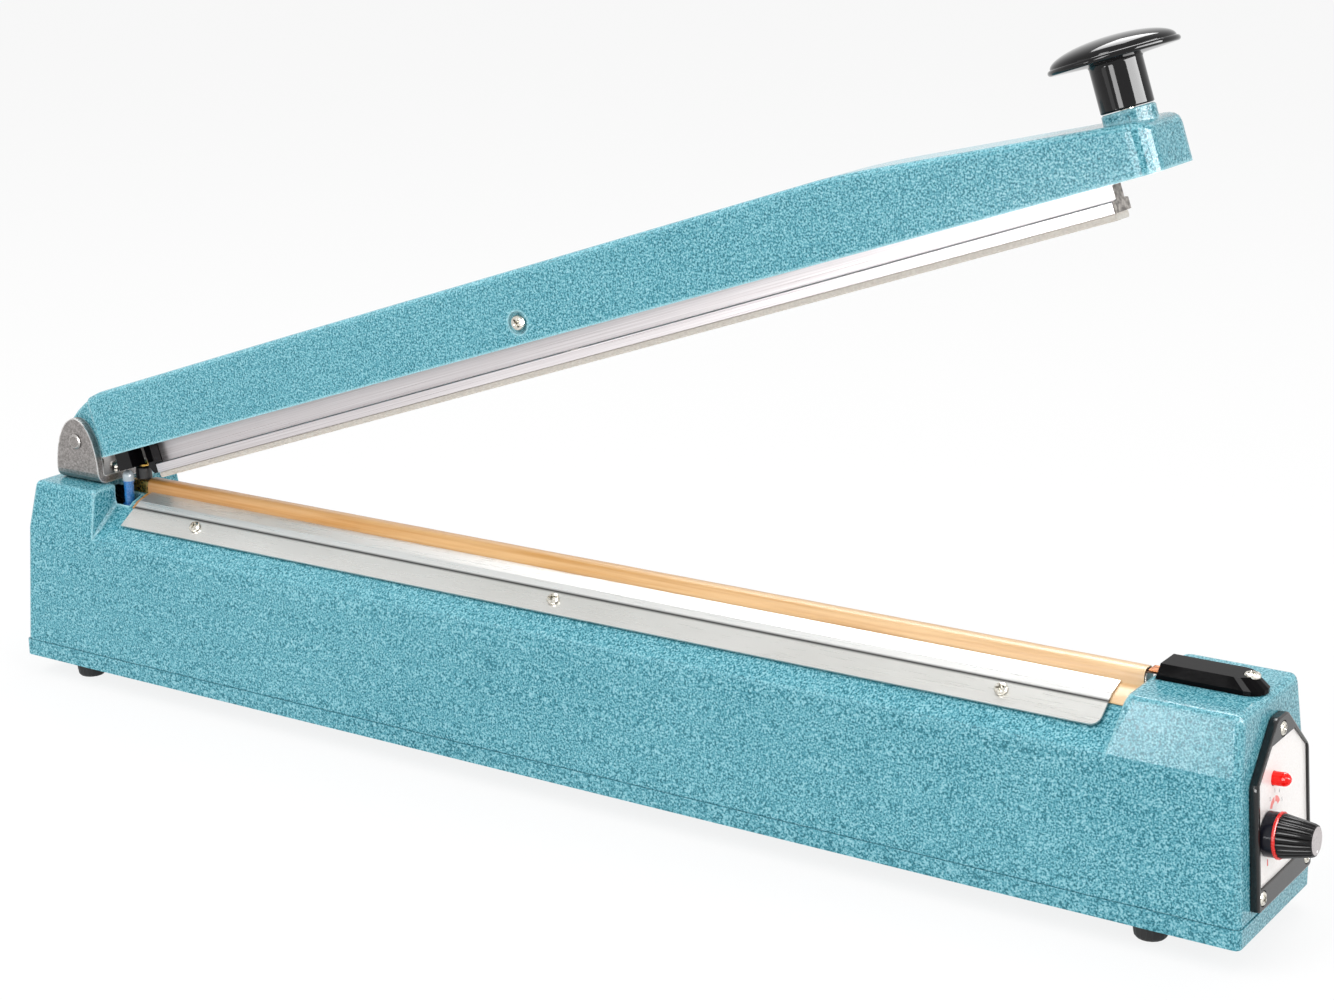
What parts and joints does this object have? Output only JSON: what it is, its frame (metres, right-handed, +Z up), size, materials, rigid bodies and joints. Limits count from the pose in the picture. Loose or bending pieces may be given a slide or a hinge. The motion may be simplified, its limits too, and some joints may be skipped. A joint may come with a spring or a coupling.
{
  "type": "impulse heat sealer",
  "caption": "Bench impulse heat sealer: long sheet-metal base with a cloth-covered sealing jaw, a hinged pressure arm with a rocking bar and mushroom handle, and a timer knob on its end panel.",
  "frame": {"origin": "centre of the footprint, on the bench plane under the feet", "axes": "+X from the hinge end to the control end, +Y from the user's side to the back, +Z up"},
  "size_m": [0.6505, 0.0766, 0.34],
  "materials": {
    "hammer_paint": "hammertone, semi-gloss",
    "bright_steel": "polished",
    "zinc_steel": "zinc plated",
    "mill_aluminium": "as extruded",
    "gloss_black_plastic": "gloss",
    "black_rubber": "matt",
    "silicone_rubber": "matt",
    "ptfe_cloth": "coated glass cloth, satin",
    "mica_brown": "matt",
    "nichrome": "dull",
    "brass": "turned",
    "copper": "bright copper",
    "red_lens": "translucent gloss",
    "blue_plastic": "satin",
    "board_green": "matt",
    "cream_plastic": "matt"
  },
  "bodies": {
    "base": {"base_tray": "hammer_paint", "housing": "hammer_paint", "foot_front_left": "black_rubber", "foot_front_right": "black_rubber", "foot_rear_left": "black_rubber", "foot_rear_right": "black_rubber", "foot_screw_front_left": "zinc_steel", "foot_screw_front_right": "zinc_steel", "foot_screw_rear_left": "zinc_steel", "foot_screw_rear_right": "zinc_steel", "cable_gland": "black_rubber", "hinge_bracket": "bright_steel", "hinge_pin": "bright_steel", "bracket_screw_1": "zinc_steel", "bracket_screw_2": "zinc_steel", "jaw_bar": "mill_aluminium", "insulating_strip": "mica_brown", "heating_ribbon": "nichrome", "jaw_cloth": "ptfe_cloth", "front_cover_plate": "bright_steel", "front_plate_screw_1": "zinc_steel", "front_plate_screw_2": "zinc_steel", "front_plate_screw_3": "zinc_steel", "rear_cover_plate": "bright_steel", "rear_plate_screw_1": "zinc_steel", "rear_plate_screw_2": "zinc_steel", "rear_plate_screw_3": "zinc_steel", "electrode_foot": "brass", "electrode_boot": "gloss_black_plastic", "electrode_screw": "brass", "electrode_strip": "copper", "electrode_cover": "gloss_black_plastic", "electrode_cover_screw": "zinc_steel", "return_spring": "zinc_steel", "end_switch": "gloss_black_plastic", "panel_bezel": "gloss_black_plastic", "bezel_screw_top": "zinc_steel", "bezel_screw_front": "zinc_steel", "bezel_screw_rear": "zinc_steel", "pilot_lamp": "red_lens", "timer_pot": "zinc_steel", "timer_board": "board_green", "transformer_core": "zinc_steel", "transformer_coil": "copper", "terminal_block": "cream_plastic"},
    "arm": {"arm": "hammer_paint", "arm_pad": "gloss_black_plastic", "pivot_screw": "zinc_steel", "pivot_nut": "zinc_steel", "handle_knob": "gloss_black_plastic", "handle_stud": "zinc_steel"},
    "bar": {"pressure_bar": "mill_aluminium", "bar_rubber": "silicone_rubber", "bar_end_block": "gloss_black_plastic", "bar_end_clip": "zinc_steel"},
    "rod": {"push_rod": "zinc_steel", "rod_sleeve": "blue_plastic"},
    "button": {"switch_button": "red_lens"},
    "knob": {"timer_knob": "gloss_black_plastic", "timer_shaft": "zinc_steel"}
  },
  "joints": [
    {"name": "arm_hinge", "type": "hinge", "parent": "base", "child": "arm", "pos_m": [-0.29804, 0, 0.1185], "axis": [0, 1, 0], "range_deg": [0, 16.84], "stiffness_Nm_per_rad": 4, "springref_deg": -74.48},
    {"name": "bar_rock", "type": "hinge", "parent": "arm", "child": "bar", "pos_m": [-0.02906, 0, 0.2065], "axis": [0, 1, 0], "range_deg": [0, 2.04]},
    {"name": "push_rod_slide", "type": "slide", "parent": "base", "child": "rod", "axis": [0, 0, -1], "range_m": [0, 0.00589], "deforming": ["return_spring"]},
    {"name": "switch_button_slide", "type": "slide", "parent": "base", "child": "button", "axis": [0, 0, -1], "range_m": [0, 0.0008]},
    {"name": "timer_turn", "type": "hinge", "parent": "base", "child": "knob", "pos_m": [0.30334, -0.014, 0.049], "axis": [0.9977, 0, 0.0684], "range_deg": [-135, 135]}
  ],
  "couplings": [
    {"joint": "bar_rock", "follows": "arm_hinge", "ratio": 0.12089},
    {"joint": "push_rod_slide", "follows": "arm_hinge", "m_per_rad": 0.02003},
    {"joint": "switch_button_slide", "follows": "arm_hinge", "m_per_rad": 0.002721}
  ]
}
